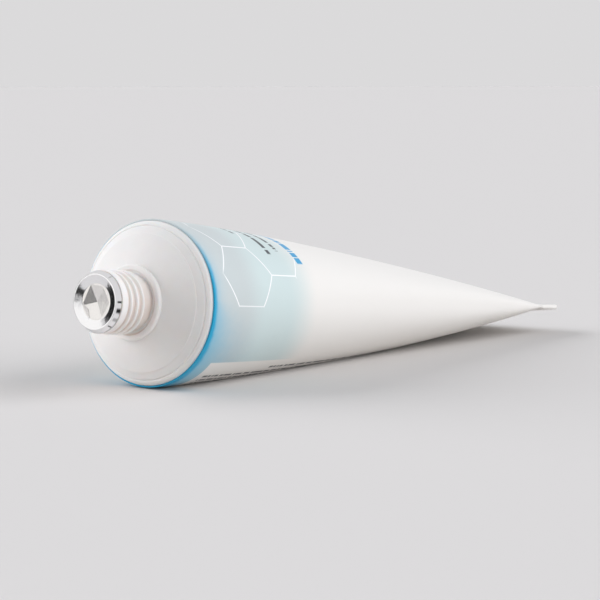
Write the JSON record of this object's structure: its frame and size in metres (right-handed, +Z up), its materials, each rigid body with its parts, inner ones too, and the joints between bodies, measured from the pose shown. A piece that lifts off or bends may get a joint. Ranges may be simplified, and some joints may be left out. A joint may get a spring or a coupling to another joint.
{
  "type": "squeeze tube of cream",
  "caption": "Plastic squeeze tube of cream lying on its side, with a flat sealed tail, a threaded neck and a foil seal under the missing cap.",
  "frame": {"origin": "on the floor under the middle of the part's bounding box, with the tube lying at rest", "axes": "+X from the neck to the sealed tail, +Y to the side where the seal's corner touches the floor, +Z up"},
  "size_m": [0.1244, 0.0468, 0.03],
  "materials": {
    "printed_laminate": "satin white laminate with a blue field that fades out from the shoulder and thin white line ornament",
    "white_plastic": "milky white moulded plastic, satin",
    "foil": "bright thin foil, dented in the middle and crinkled at its skirt"
  },
  "bodies": {
    "root": {"sleeve": "printed_laminate", "head": "white_plastic", "foil_seal": "foil"}
  },
  "joints": []
}
